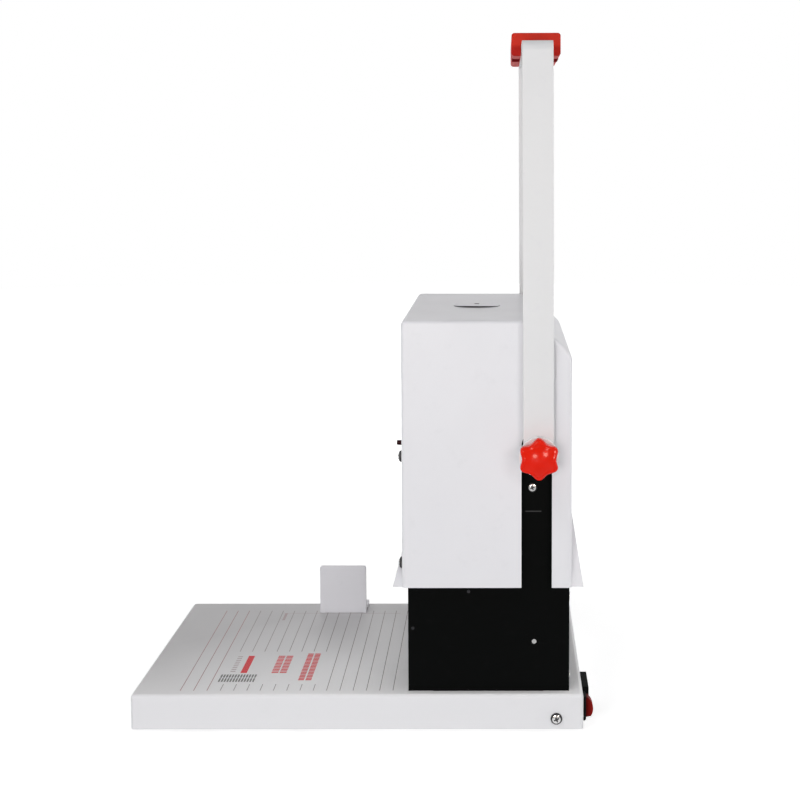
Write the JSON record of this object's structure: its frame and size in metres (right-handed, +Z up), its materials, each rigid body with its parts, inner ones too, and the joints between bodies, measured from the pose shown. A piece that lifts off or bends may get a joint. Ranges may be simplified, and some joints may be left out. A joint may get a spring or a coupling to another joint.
{
  "type": "thread binding machine",
  "caption": "Desk paper-drilling and thread binding machine: printed steel table, black side plates, white hood, U-shaped pull lever with red grip and star knobs.",
  "frame": {"origin": "on the floor under the middle of the whole object's box", "axes": "+X to the operator's right along the width, -Y towards the operator, +Z up"},
  "size_m": [0.4146, 0.46, 0.6937],
  "materials": {
    "white_steel": "satin powder coat",
    "white_shell": "satin moulded",
    "white_bar": "satin powder coat",
    "stop_white": "satin powder coat",
    "disc_white": "satin moulded",
    "black_steel": "satin powder coat",
    "zinc_steel": "zinc plated",
    "dark_rivet": "blackened",
    "bright_steel": "ground",
    "gear_steel": "machined and oiled",
    "tool_steel": "ground",
    "cast_bar": "bare",
    "bronze": "sintered",
    "aluminium_plate": "machined",
    "socket_steel": "black oxide",
    "motor_grey": "satin paint",
    "spring_steel": "drawn wire",
    "nylon": "turned",
    "rubber": "matte",
    "red_plastic": "glossy moulded",
    "lamp_red": "clear tinted",
    "switch_red": "glossy tinted",
    "black_plastic": "satin moulded",
    "board_green": "lacquered board",
    "magnet_grey": "nickel plated"
  },
  "bodies": {
    "frame": {"base_tray": "white_steel", "base_plate": "zinc_steel", "anvil_bar": "cast_bar", "drill_pads": "nylon", "rubber_feet": "rubber", "foot_screws": "zinc_steel", "cover_screws": "zinc_steel", "side_plate_left": "black_steel", "side_plate_right": "black_steel", "side_plate_bolts": "zinc_steel", "drill_guide_plate": "black_steel", "guide_plate_rivets": "dark_rivet", "guide_rods": "bright_steel", "rod_screws": "zinc_steel", "top_bridge": "black_steel", "frame_screws": "zinc_steel", "shaft_bushes": "bronze", "back_gauge": "black_steel", "gauge_pins": "zinc_steel", "rear_cover": "black_steel", "hood": "white_shell", "top_cap": "white_shell", "power_led": "lamp_red", "switch_housing": "black_plastic", "power_inlet": "black_plastic", "inlet_pins": "bright_steel", "control_board": "board_green", "return_springs": "spring_steel"},
    "head": {"head_plate_lower": "aluminium_plate", "head_plate_upper": "aluminium_plate", "head_spacers": "aluminium_plate", "head_screws": "socket_steel", "guide_bushes": "bronze", "spindle_bearings": "bright_steel", "idler_pins": "bright_steel", "racks": "gear_steel", "motor_body": "motor_grey", "motor_end_cap": "motor_grey"},
    "motor_rotor": {"motor_pinion": "gear_steel"},
    "spindle_left": {"spindle_left": "gear_steel", "drill_left": "tool_steel"},
    "spindle_center": {"spindle_center": "gear_steel", "drill_center": "tool_steel"},
    "spindle_right": {"spindle_right": "gear_steel", "drill_right": "tool_steel"},
    "idler_left": {"idler_gear_left": "gear_steel"},
    "idler_right": {"idler_gear_right": "gear_steel"},
    "handle": {"handle_bar": "white_bar", "grip": "red_plastic", "pivot_shaft": "bright_steel", "gear_sectors": "gear_steel", "sector_pins": "bright_steel", "arm_spacers": "zinc_steel", "hub_discs": "disc_white"},
    "knob_left": {"star_knob_left": "red_plastic"},
    "knob_right": {"star_knob_right": "red_plastic"},
    "side_stop": {"side_stop": "stop_white", "stop_magnets": "magnet_grey"},
    "rocker": {"switch_rocker": "switch_red"}
  },
  "joints": [
    {"name": "handle_swing", "type": "hinge", "parent": "frame", "child": "handle", "pos_m": [0, 0.1749, 0.279], "axis": [1, 0, 0], "range_deg": [0, 88]},
    {"name": "head_slide", "type": "slide", "parent": "frame", "child": "head", "axis": [0, 0, -1], "range_m": [0, 0.05837], "stiffness_N_per_m": 1900, "springref_m": -0.045, "deforming": ["return_springs"]},
    {"name": "motor_spin", "type": "hinge", "parent": "head", "child": "motor_rotor", "pos_m": [0.04, 0.074, 0.25], "axis": [0, 0, 1], "continuous": true},
    {"name": "spindle_left_spin", "type": "hinge", "parent": "head", "child": "spindle_left", "pos_m": [-0.08, 0.112, 0.2], "axis": [0, 0, 1], "continuous": true},
    {"name": "spindle_center_spin", "type": "hinge", "parent": "head", "child": "spindle_center", "pos_m": [0, 0.112, 0.2], "axis": [0, 0, 1], "continuous": true},
    {"name": "spindle_right_spin", "type": "hinge", "parent": "head", "child": "spindle_right", "pos_m": [0.08, 0.112, 0.2], "axis": [0, 0, 1], "continuous": true},
    {"name": "idler_left_spin", "type": "hinge", "parent": "head", "child": "idler_left", "pos_m": [-0.04, 0.112, 0.2], "axis": [0, 0, 1], "continuous": true},
    {"name": "idler_right_spin", "type": "hinge", "parent": "head", "child": "idler_right", "pos_m": [0.04, 0.112, 0.2], "axis": [0, 0, 1], "continuous": true},
    {"name": "knob_left_turn", "type": "hinge", "parent": "handle", "child": "knob_left", "pos_m": [-0.195, 0.1749, 0.279], "axis": [-1, 0, 0], "continuous": true},
    {"name": "knob_right_turn", "type": "hinge", "parent": "handle", "child": "knob_right", "pos_m": [0.195, 0.1749, 0.279], "axis": [1, 0, 0], "continuous": true},
    {"name": "side_stop_slide", "type": "slide", "parent": "frame", "child": "side_stop", "axis": [1, 0, 0], "range_m": [-0.02, 0.06]},
    {"name": "rocker_tilt", "type": "hinge", "parent": "frame", "child": "rocker", "pos_m": [0.16, 0.22, 0.0225], "axis": [1, 0, 0], "range_deg": [-20, 0]}
  ],
  "couplings": [
    {"joint": "head_slide", "follows": "handle_swing", "m_per_rad": 0.038},
    {"joint": "idler_right_spin", "follows": "motor_spin", "ratio": -0.9},
    {"joint": "spindle_right_spin", "follows": "motor_spin", "ratio": 0.9},
    {"joint": "spindle_center_spin", "follows": "motor_spin", "ratio": 0.9},
    {"joint": "idler_left_spin", "follows": "motor_spin", "ratio": -0.9},
    {"joint": "spindle_left_spin", "follows": "motor_spin", "ratio": 0.9}
  ]
}
